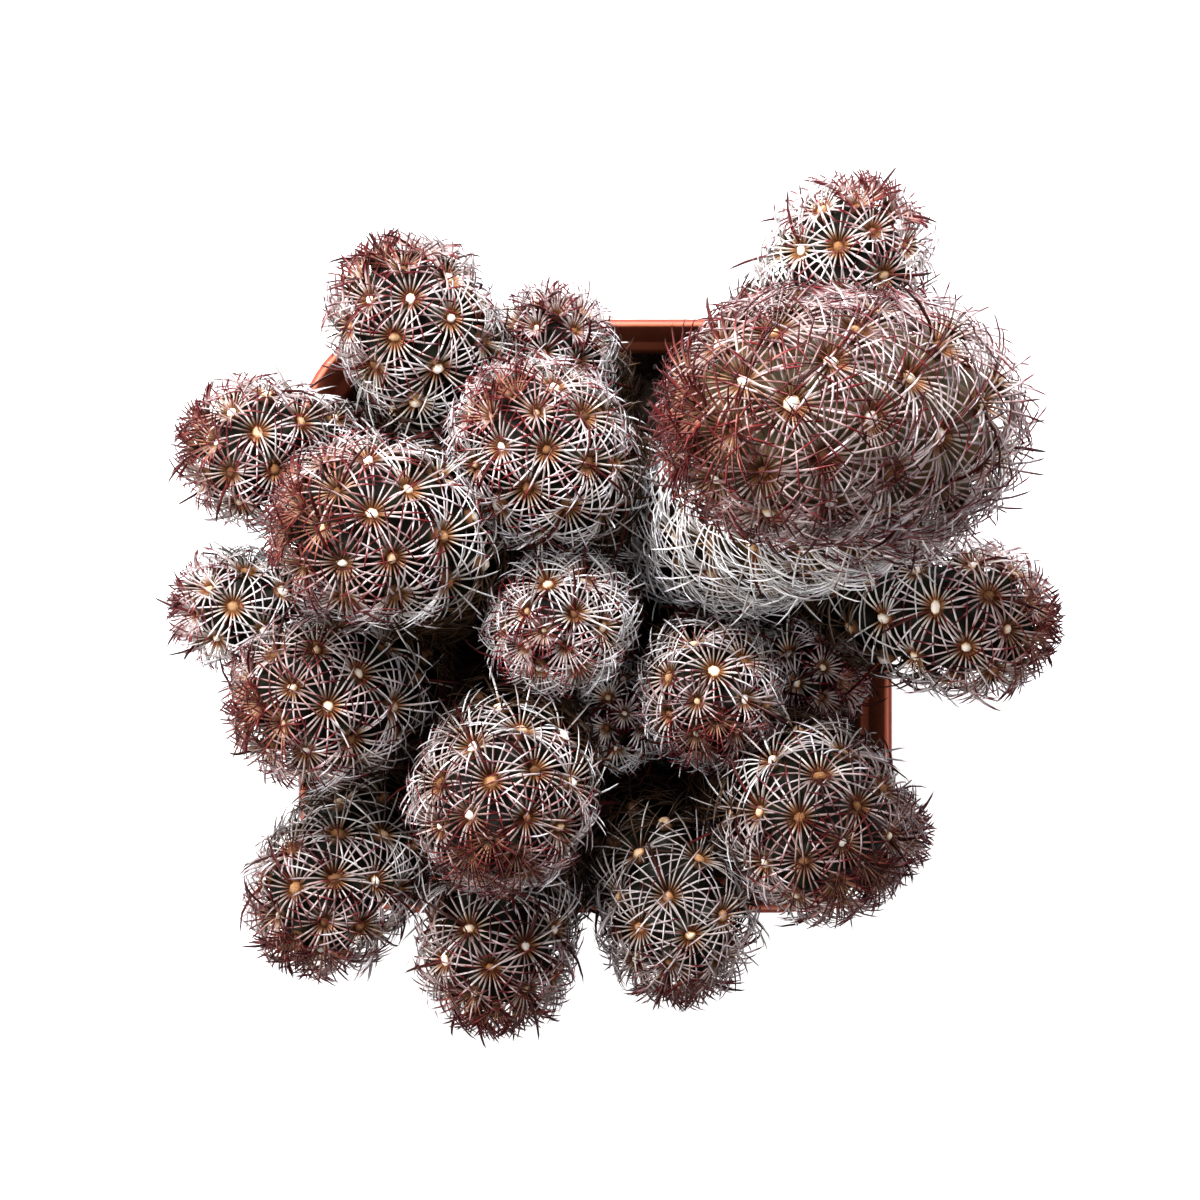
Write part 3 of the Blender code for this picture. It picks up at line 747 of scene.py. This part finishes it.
def make_pot():
    """One closed wall with finely rounded corners, drained through its base."""
    pot = to_object("pot_tub", loft([rounded_square(*ring) for ring in pot_rings()]))
    cutters = [cutter for quarter in range(4) for cutter in drain_cutters(quarter)]
    for cutter in cutters:
        cut = pot.modifiers.new(cutter.name, "BOOLEAN")
        cut.operation = "DIFFERENCE"
        cut.object = cutter
    bevel = pot.modifiers.new("soft edges", "BEVEL")
    bevel.width = EDGE_ROUND
    bevel.segments = ROUND_STEPS
    bevel.limit_method = "ANGLE"
    bevel.angle_limit = ROUNDED_FROM
    graph = bpy.context.evaluated_depsgraph_get()
    mesh = bpy.data.meshes.new_from_object(pot.evaluated_get(graph))
    pot.modifiers.clear()
    pot.data = mesh
    discard(*cutters)
    mesh.shade_smooth()
    mesh.set_sharp_from_angle(angle=SHARP_FROM)
    mesh.materials.append(pot_material())
    return pot


# Stems


class Finger:
    """The bent axis of a stem, its radius along the way, and points on its skin."""

    def __init__(self, stem):
        self.stem = stem
        self.radius = stem.radius * MM
        base = np.array((*stem.base, SOIL_TOP / MM)) * MM
        head = np.array(stem.head, float) * MM
        facing, tilt = math.radians(stem.facing), math.radians(stem.tilt)
        flat = math.sin(tilt)
        end = np.array((math.cos(facing) * flat, math.sin(facing) * flat, math.cos(tilt)))
        reach = np.linalg.norm(head - base)
        rise = base + np.array((0, 0, stem.rise * reach))
        back = head - end * stem.handle * reach
        t = np.linspace(0, 1, AXIS_SAMPLES)[:, None]
        self.points = (
            (1 - t) ** 3 * base
            + 3 * (1 - t) ** 2 * t * rise
            + 3 * (1 - t) * t**2 * back
            + t**3 * head
        )
        steps = np.linalg.norm(np.diff(self.points, axis=0), axis=1)
        self.along = np.concatenate(([0], np.cumsum(steps)))
        self.length = self.along[-1]
        self.crown = self.length + self.radius * math.pi / 2
        self.ways = unit(np.gradient(self.points, axis=0))
        self.sides = self.carry_side()

    def carry_side(self):
        """A side direction at each sample that turns as little as it can along the bend."""
        side = np.array((1.0, 0.0, 0.0))
        sides = []
        for way in self.ways:
            side = side - way * (side @ way)
            side = side / np.linalg.norm(side)
            sides.append(side)
        return np.array(sides)

    def radius_at(self, s):
        """The skin's distance from the axis, s along it and on round the head."""
        grown = np.clip(s / min(FILL_SHARE * self.length, FILL_OUT), 0, 1)
        share = NECK_SHARE + (1 - NECK_SHARE) * np.sin(grown * math.pi / 2)
        return self.radius * share * np.cos(np.clip(s - self.length, 0, None) / self.radius)

    def follow(self, values, s):
        return np.stack([np.interp(s, self.along, values[:, k]) for k in range(3)], axis=1)

    def skin(self, s, angle):
        """Points on the skin, the directions straight out of it, and those up the stem."""
        on_axis = np.clip(s, 0, self.length)
        way = unit(self.follow(self.ways, on_axis))
        side = unit(self.follow(self.sides, on_axis))
        out = side * np.cos(angle)[:, None] + np.cross(way, side) * np.sin(angle)[:, None]
        turn = (np.clip(s - self.length, 0, None) / self.radius)[:, None]
        up = way * np.cos(turn) - out * np.sin(turn)
        place = self.follow(self.points, on_axis) + out * self.radius_at(s)[:, None]
        place = place + way * self.radius * np.sin(turn)
        place[:, 2] += np.minimum(s, 0)
        return place, out * np.cos(turn) + way * np.sin(turn), up

    def gap_at(self, age):
        """How far apart the areoles lie, this far from the apex."""
        full = GAP_BASE + GAP_PER_RADIUS * self.radius
        return full * (1 - (1 - GAP_AT_APEX) * np.exp(-age / GAP_SETTLES))


def unit(vectors):
    return vectors / np.linalg.norm(vectors, axis=1)[:, None]


def spine_tones(stem, ages, depth):
    """Tones of a stem's spines: young near its apex, white further off, and browner and darker
    further below its head, partly from weathering and partly as painted shade.
    """
    tone = stem.white + (YOUNG_TONE - stem.white) * np.exp(-ages / (stem.fade * MM))
    tone += stem.red * np.clip(3 - 2 * ages / (stem.reach * MM), 0, 1)
    # Browner and darker further below the head: partly weathering, partly painted shade
    weathered_and_shaded = np.clip((depth - stem.weathered * MM) / WEATHERING_AND_SHADE_OVER, 0, 1)
    return np.maximum(tone, stem.white) * (1 - weathered_and_shaded) + WEATHERED_AND_SHADED_TONE * weathered_and_shaded


def find_areoles(finger):
    """Where the areoles are and what they carry, on a spiral down from the apex that keeps them
    evenly apart."""
    age = np.linspace(0, finger.crown - LOWEST_AREOLE, AREOLE_SAMPLES)
    gap = finger.gap_at(age)
    crowd = 2 * math.pi * finger.radius_at(finger.crown - age) / (HEX_SHARE * gap**2)
    count = np.concatenate(([0], np.cumsum((crowd[1:] + crowd[:-1]) / 2 * np.diff(age))))
    number = np.arange(0.5, count[-1])
    ages = np.interp(number, count, age)
    points, out, up = finger.skin(finger.crown - ages, number * GOLDEN_ANGLE)
    stem = finger.stem
    around_head = max((finger.crown - finger.length) * HEAD_REACH, stem.reach * MM)
    return {
        "points": points, "out": out, "up": up, "age": ages,
        "share": finger.gap_at(ages) / finger.gap_at(np.array(1.0)),
        # The spine tones, browner and darker below the head partly as painted shade
        "redness": spine_tones(stem, ages, finger.points[-1][2] - points[:, 2]),
        "dome": np.clip(around_head / ages - HEAD_EDGE, 0, 1),
        # How many spines take the darker painted-shade copy, fading out further from the apex
        "dull": stem.dull * np.clip(2 - ages / PAINTED_SHADE_REACH, 0, 1),
    }


def make_areoles(*groups):
    """One object with a point for each areole of these stems."""
    joined = {name: np.concatenate([group[name] for group in groups]) for name in groups[0]}
    mesh = new_mesh("areoles", joined.pop("points"))
    carry(mesh, **joined)
    return new_object("areoles", mesh)


def wrap(sides, top):
    """Faces that join rings of points, one above the other, and close them with the top point."""
    faces = []
    for k in range(sides):
        j = (k + 1) % sides
        for low in range(0, top - sides, sides):
            faces.append((low + k, low + j, low + sides + j, low + sides + k))
        faces.append((top - sides + k, top - sides + j, top))
    return faces


def make_skin_grid(finger):
    """A fine closed grid over the finger, as wide as its tubercle tips."""
    count = round(2 * math.pi * finger.radius / SKIN_STEP)
    rings = round(finger.crown / SKIN_STEP)
    shown = np.linspace(0, finger.crown, rings)[:-1]
    heights = np.concatenate(([-SOCKET_DEPTH, -SOCKET_DEPTH / 2], shown))
    angles = np.arange(count) * 2 * math.pi / count
    s = np.append(np.repeat(heights, count), finger.crown)
    points, out, _ = finger.skin(s, np.append(np.tile(angles, len(heights)), 0))
    foot = points[:count].mean(axis=0)
    points = np.vstack((points, foot))
    out = np.vstack((out, (0, 0, -1)))
    s = np.append(s, -SOCKET_DEPTH)
    top, bottom = len(points) - 2, len(points) - 1
    faces = wrap(count, top) + [((k + 1) % count, k, bottom) for k in range(count)]
    mesh = new_mesh("skin grid", points, faces)
    age = finger.crown - s
    gap = finger.gap_at(age)
    depth = RELIEF_SHARE * gap * np.clip(s / RELIEF_STARTS, 0, 1)
    carry(mesh, out=out, age=age, gap=gap, depth=depth)
    return new_object("skin grid", mesh)


def skin_growth():
    """Tubercled skin: sinks the grid between its areoles, more the further they are, and stores how
    light the skin is painted: painted light on the tubercles and on paler stems, painted shade in
    the valleys.
    """
    tree = Growth("Tubercled skin", "Areoles", "Pale", *TUBERCLES)
    size = tree.size
    near = tree.nearest(tree.object_mesh("Areoles"), "POINTS")
    away = tree.math("MINIMUM", near / (tree.named("gap") * size["Reach"]), 1.0)
    sunk = tree.math("POWER", away, size["Power"])
    place = tree.add("GeometryNodeInputPosition")
    lumps = tree.add("ShaderNodeTexNoise", {"Vector": place, "Scale": 520.0})
    down = sunk * tree.named("depth") + lumps * size["Lumps"]
    moved = tree.move(tree.mesh, tree.named("out", "FLOAT_VECTOR") * (down * -1.0))
    # Painted light on the tubercles and paler stems, painted shade in the valleys
    tree.finish(tree.store(moved, tip=size["Pale"] - away + 1.0))
    return tree


def cone(rings, sides, top):
    """A closed mesh from rings of this radius and height up to a point on the axis."""
    ways = [2 * math.pi * k / sides for k in range(sides)]
    points = [
        (radius * math.cos(way), radius * math.sin(way), height)
        for radius, height in rings for way in ways
    ]
    faces = [*wrap(sides, len(points)), tuple(range(sides))[::-1]]
    return new_mesh("cone", [*points, (0, 0, top)], faces)


def make_unit_spine():
    """A spine one long and one thick that points up, with its own places along and round it."""
    mesh = cone(SPINE_PROFILE, SPINE_SIDES, 1)
    around = []
    for k in range(SPINE_SIDES):
        low, high = k / SPINE_SIDES, (k + 1) / SPINE_SIDES
        around += [low, high, high, low] * (len(SPINE_PROFILE) - 1)
        around += [low, high, (low + high) / 2]
    carry(mesh, along=[vertex.co.z for vertex in mesh.vertices])
    carry(mesh, "CORNER", around=around + [0.0] * SPINE_SIDES)
    return new_object("unit spine", mesh)


def make_unit_tuft():
    """A low felt cushion with a woolly crown, its flat side down."""
    mesh = cone([ring[:2] for ring in TUFT_PROFILE], TUFT_SIDES, TUFT_TOP)
    carry(mesh, wool=[white for *_, white in TUFT_PROFILE for _ in range(TUFT_SIDES)] + [1.0])
    return new_object("unit tuft", mesh)


class SpineGrowth(Growth):
    """Spines: a fan round each areole. What would run into a neighbour stands up or is shorter."""

    def __init__(self):
        super().__init__("Spines", "Spine", "Around", *ALL_SPINES, *LONG_SPINES)
        points, root = self.aim(*self.sow())
        points = self.tint(points)
        points = self.add("GeometryNodeSetPosition", {"Geometry": points, "Position": root})
        self.finish(self.shape(self.thin_out(points)))

    def sow(self):
        """A point for each spine, and its number in its fan."""
        points = self.add("GeometryNodeMeshToPoints", {"Mesh": self.mesh})
        points = self.drop(points, self.random(0.0, 1.0, 0) > self.size["Chance"])
        points = self.store(points, turn=self.random(0.0, math.tau, 1))
        inputs = {"Geometry": points, "Amount": self.size["Spines"]}
        points = self.add("GeometryNodeDuplicateElements", inputs, domain="POINT")
        return points, points.also("Duplicate Index")

    def aim(self, points, number):
        """Stores each spine's length, direction and bow, and gives the place of its root."""
        size = self.size
        out, up = self.named("out", "FLOAT_VECTOR"), self.named("up", "FLOAT_VECTOR")
        side, dome = self.vector("CROSS_PRODUCT", up, out), self.named("dome")
        young = self.remap(self.named("age"), 0.0, size["Grown"], 1.0, 0.0, smooth=True)
        part = (number + self.random(-0.2, 0.2, 2)) / size["Spines"]
        angle = part * math.tau + self.named("turn")
        flat = up * self.math("COSINE", angle) + side * self.math("SINE", angle)
        length = size["Length"] * self.random(0.9, 1.1, 3) * (young * -YOUNG_SHORTER + 1.0)
        sideways = self.math("ABSOLUTE", self.math("SINE", angle))
        curved = self.math("MAXIMUM", sideways * 0.65 + 0.35, dome)
        bend = size["Bend"] * self.random(0.85, 1.15, 4) * curved
        bend = bend * (young * -YOUNG_STRAIGHTER + 1.0)
        fringe = (sideways * -1.0 + 1.0) * (dome * -0.7 + 0.7)
        rise = size["Rise"] * (dome * 0.35 + 0.65) + young * size["Young Rise"] + fringe
        rise = rise + self.random(-0.07, 0.07, 5)
        sway = self.vector("CROSS_PRODUCT", out, flat) * self.random(-0.05, 0.05, 6)
        place = self.add("GeometryNodeInputPosition")
        root = place + flat * (size["Ring"] * self.named("share")) + out * ROOT_OUT
        bow = out * (bend * -1.0) + sway
        way, free = self.find_room(root, flat, out, rise, bow, length)
        long = length * free
        points = self.store(
            points, free=free, sparse=sideways * 1.3 + dome * 1.6 - 0.2, long=long, way=way,
            bow=bow * (long * free),
        )
        return points, root

    def find_room(self, root, flat, out, rise, bow, length):
        """A spine's direction, and how much of it has room: steeper where that is freer."""
        around = self.surroundings()

        def lean(extra):
            tilt = self.math("MINIMUM", rise + extra, STEEPEST)
            way = flat * self.math("COSINE", tilt) + out * self.math("SINE", tilt)
            chord = (way + bow) * length
            reach = self.vector("LENGTH", chord, out="Value")
            hit = self.add("GeometryNodeRaycast", {
                "Target Geometry": around, "Source Position": root + way * (length * FREE_FROM),
                "Ray Direction": chord, "Ray Length": reach,
            }, "Is Hit")
            room = self.math("MULTIPLY", hit.also("Hit Distance") / reach, FREE_SHARE)
            return way, self.pick(hit, 1.0, room)

        best = lean(LEANS[0])
        for extra in LEANS[1:]:
            other = lean(extra)
            better = other[1] > best[1] * BETTER
            best = [self.pick(better, *pair) for pair in zip(best, other)]
        return best

    def tint(self, points):
        """Stores each spine's tone, and which half of the map it is on: the bright one, or the
        darker one that is painted shade.
        """
        tone = self.named("redness") + self.random(-1.0, 1.0, 7) * self.size["Tone Spread"]
        limits = {"Value": tone, "Min": LOWEST_TONE, "Max": HIGHEST_TONE}
        tone = self.math("MAXIMUM", self.add("ShaderNodeClamp", limits), self.size["Tone"])
        dull = self.random(0.0, 1.0, 9) < self.named("dull")
        return self.store(points, tone=tone, band=dull * PAINTED_SHADE_BAND)

    def thin_out(self, points):
        """Fewer spines up and down the stem than across it, and none without room."""
        cramped = self.named("free") < LEAST_ROOM
        missing = self.random(0.0, 1.0, 8) > self.named("sparse")
        return self.drop(points, self.math("MAXIMUM", cramped, missing))

    def shape(self, points):
        """Puts a bowed spine on each point, with its place on the map."""
        wide = self.size["Thickness"] * (self.named("free") * 0.4 + 0.6)
        scale = self.add("ShaderNodeCombineXYZ", {"X": wide, "Y": wide, "Z": self.named("long")})
        along = self.named("along")
        spines = self.move(
            self.plant(points, "Spine", "way", scale),
            self.named("bow", "FLOAT_VECTOR") * (along * along),
        )
        across = self.named("tone") + (self.named("around") - 0.5) * TONE_WIDTH
        place_on_map = self.add("ShaderNodeCombineXYZ", {
            "X": across, "Y": along * BAND + self.named("band"),
        })
        return self.store(spines, "FLOAT2", "CORNER", **{UV_MAP: place_on_map})


def tuft_growth():
    """Tufts: a cushion on each areole, smaller where the areoles are closer, its wool rubbed off and
    painted darker where the spines are brown, partly from weathering and partly as painted shade."""
    tree = Growth("Tufts", "Tuft", *TUFTS)
    fluff = tree.math("MINIMUM", tree.random(0.05, 1.12, 4), 1.0)
    # Less white wool where the spines are brown, partly from weathering and partly as painted shade
    fluff = fluff * tree.remap(tree.named("redness"), WEATHERED_AND_SHADED_TONE, 0.05, 0.1, 1.0)
    scale = tree.random_vector(0.7, 1.2, 0) * (tree.size["Size"] * tree.named("share"))
    tufts = tree.plant(tree.store(tree.mesh, fluff=fluff), "Tuft", "out", scale)
    place = tree.add("GeometryNodeInputPosition")
    tangle = tree.add("ShaderNodeTexNoise", {"Vector": place, "Scale": 1500.0}, "Color")
    tufts = tree.move(tufts, (tangle - (0.5, 0.5, 0.5)) * TUFT_TANGLE)
    tree.finish(tree.store(tufts, wool=tree.named("wool") * tree.named("fluff")))
    return tree


def grit_growth():
    """Grit: crumbs of many sizes strewn on the soil, clear of the stems."""
    tree = Growth("Grit", "Around", *GRIT)
    size = tree.size
    level, height = (
        tree.add("ShaderNodeSeparateXYZ", {0: tree.add("GeometryNodeInput" + what)}, "Z")
        for what in ("Normal", "Position")
    )
    top = (level > GRIT_LEVEL) * (height > SOIL_TOP - GRIT_DEEPEST)
    points = tree.add("GeometryNodeDistributePointsOnFaces", {
        "Mesh": tree.mesh, "Selection": top, "Distance Min": size["Closest"],
        "Density Max": size["Density"], "Seed": size["Seed"],
    }, distribute_method="POISSON")
    luck = tree.random(0.0, 1.0, 1)
    wide = size["Small"] + (size["Large"] - size["Small"]) * luck * luck
    near = tree.nearest(tree.surroundings(), "FACES")
    points = tree.store(points, wide=wide)
    points = tree.store(points, kind=tree.random(0.0, 1.0, 2))
    points = tree.drop(points, near < tree.named("wide") * GRIT_CLEAR)
    turn = tree.random_vector(0.0, math.tau, 3)
    grains = tree.add("GeometryNodeInstanceOnPoints", {
        "Points": points,
        "Instance": tree.add("GeometryNodeMeshIcoSphere"),
        "Scale": tree.random_vector(0.6, 1.1, 6) * tree.named("wide"),
    })
    tree.finish(tree.add("GeometryNodeRotateInstances", {
        "Instances": grains,
        "Rotation": tree.add("FunctionNodeEulerToRotation", {"Euler": turn}),
    }))
    return tree


def fit(piece, node=None):
    """Puts a finished piece on the one body of the frame."""
    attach(piece, "root")
    if node:
        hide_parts(node)


def grow_skins(fingers, areoles):
    tree, material = skin_growth(), skin_material()
    skins = []
    for finger, tips in zip(fingers, areoles):
        grid = make_skin_grid(finger)
        sizes = {**TUBERCLES, "Areoles": tips, "Pale": finger.stem.pale, "Material": material}
        skins.append(tree.grow(finger.stem.name + "_skin", grid, sizes))
        forget(skins[-1].data, *SCRAPS)
        discard(grid)
    return skins


def grow_spines(fingers, areoles, all_tips, skins, around):
    """The fans of each stem, clear of what is around it, and long dark spines among them all."""
    tree, spine = SpineGrowth(), make_unit_spine()
    shared = {**ALL_SPINES, "Spine": spine, "Around": around, "Material": spine_material()}
    pieces = []
    for k, (finger, tips, skin) in enumerate(zip(fingers, areoles, skins)):
        furry = finger.stem.furry
        around.objects.unlink(skin)
        pieces.append(tree.grow(finger.stem.name + "_spines", tips, {
            **shared, **FANS, "Spines": round(SPINES * furry), "Seed": k * SEEDS_PER_STEM,
            "Length": (SPINE_BASE + SPINE_PER_RADIUS * finger.radius) * furry**0.5,
        }))
        around.objects.link(skin)
    pieces.append(tree.grow("long_spines", all_tips, {**shared, **LONG_SPINES}))
    for piece in pieces:
        forget(piece.data, "age", *SCRAPS)
    discard(spine)
    return pieces


def grow_tufts(all_tips):
    tuft = make_unit_tuft()
    sizes = {**TUFTS, "Tuft": tuft, "Material": wool_material()}
    tufts = tuft_growth().grow("areole_tufts", all_tips, sizes)
    forget(tufts.data, "age", *SCRAPS)
    discard(tuft)
    return tufts


def grow_grit(soil, around):
    sizes = {**GRIT, "Around": around, "Material": grit_material()}
    return grit_growth().grow("soil_grit", soil, sizes)


def make_stems(pot, soil):
    """Skins, spines and tufts of all stems, and the grit between them."""
    fingers = [Finger(stem) for stem in STEMS]
    found = [find_areoles(finger) for finger in fingers]
    areoles = [make_areoles(group) for group in found]
    skins = grow_skins(fingers, areoles)
    around = bpy.data.collections.new("around")
    bpy.context.scene.collection.children.link(around)
    for obj in (*skins, pot, soil):
        around.objects.link(obj)
    all_tips = make_areoles(*found)
    pieces = grow_spines(fingers, areoles, all_tips, skins, around)
    tufts = grow_tufts(all_tips)
    around.objects.unlink(soil)
    grit = grow_grit(soil, around)
    bpy.data.collections.remove(around)
    discard(all_tips, *areoles)
    for finger, skin in zip(fingers, skins):
        fit(skin, finger.stem.name)
    for piece in (*pieces, tufts):
        fit(piece)
    fit(grit)


# Stage


def make_floor():
    far = FLOOR_REACH
    corners = [(-far, -far, 0), (far, -far, 0), (far, far, 0), (-far, far, 0)]
    mesh = new_mesh("floor", corners, [(0, 1, 2, 3)])
    mesh.materials.append(floor_material())
    floor = new_object("floor", mesh)
    return floor


def add_lamp(name, place, width, power, tint):
    light = bpy.data.lights.new(name, "AREA")
    light.shape = "DISK"
    light.size = width
    light.energy = power
    light.color = tint
    lamp = new_object(name, light)
    lamp.location = place
    lamp.rotation_euler = (Vector(LAMPS_AIM) - Vector(place)).to_track_quat("-Z", "Y").to_euler()
    return lamp


def light_only(lamp, obj):
    """Keeps the lamp's light to one object."""
    linked = bpy.data.collections.new(lamp.name)
    linked.objects.link(obj)
    lamp.light_linking.receiver_collection = linked
    lamp.light_linking.blocker_collection = linked


def make_sky():
    world = bpy.data.worlds.new("studio")
    world.use_nodes = True
    tree = Tree(world.node_tree)
    way = tree.add("ShaderNodeTexCoord")
    towards = tree.vector("DOT_PRODUCT", way, WINDOW, out="Value")
    sky = tree.blend(tree.remap(towards, -1.0, 1.0), SKY)
    background = world.node_tree.nodes["Background"]
    tree.feed(background.inputs["Color"], sky)
    tree.feed(background.inputs["Strength"], SKY_STRENGTH)
    bpy.context.scene.world = world


def light_scene(floor):
    lamps = {name: add_lamp(name, *facts) for name, facts in LAMPS.items()}
    light_only(lamps["backdrop"], floor)
    make_sky()


def place_camera():
    camera = bpy.data.cameras.new("camera")
    camera.sensor_width = SENSOR
    camera.lens = LENS
    camera.clip_start = 0.01
    camera.clip_end = 20
    scene = bpy.context.scene
    scene.camera = new_object("camera", camera)
    scene.camera.location = CAMERA_PLACE
    scene.view_settings.view_transform = "Standard"
    scene.view_settings.look = "Medium High Contrast"


def paint_node(node, material):
    """Gives a CAD node that stays its material."""
    for slot in node.material_slots:
        slot.material = material


def main():
    pot = make_pot()
    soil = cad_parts["soil"]
    paint_node(soil, soil_material())
    make_stems(pot, soil)
    fit(pot, "pot")
    light_scene(make_floor())
    place_camera()


main()
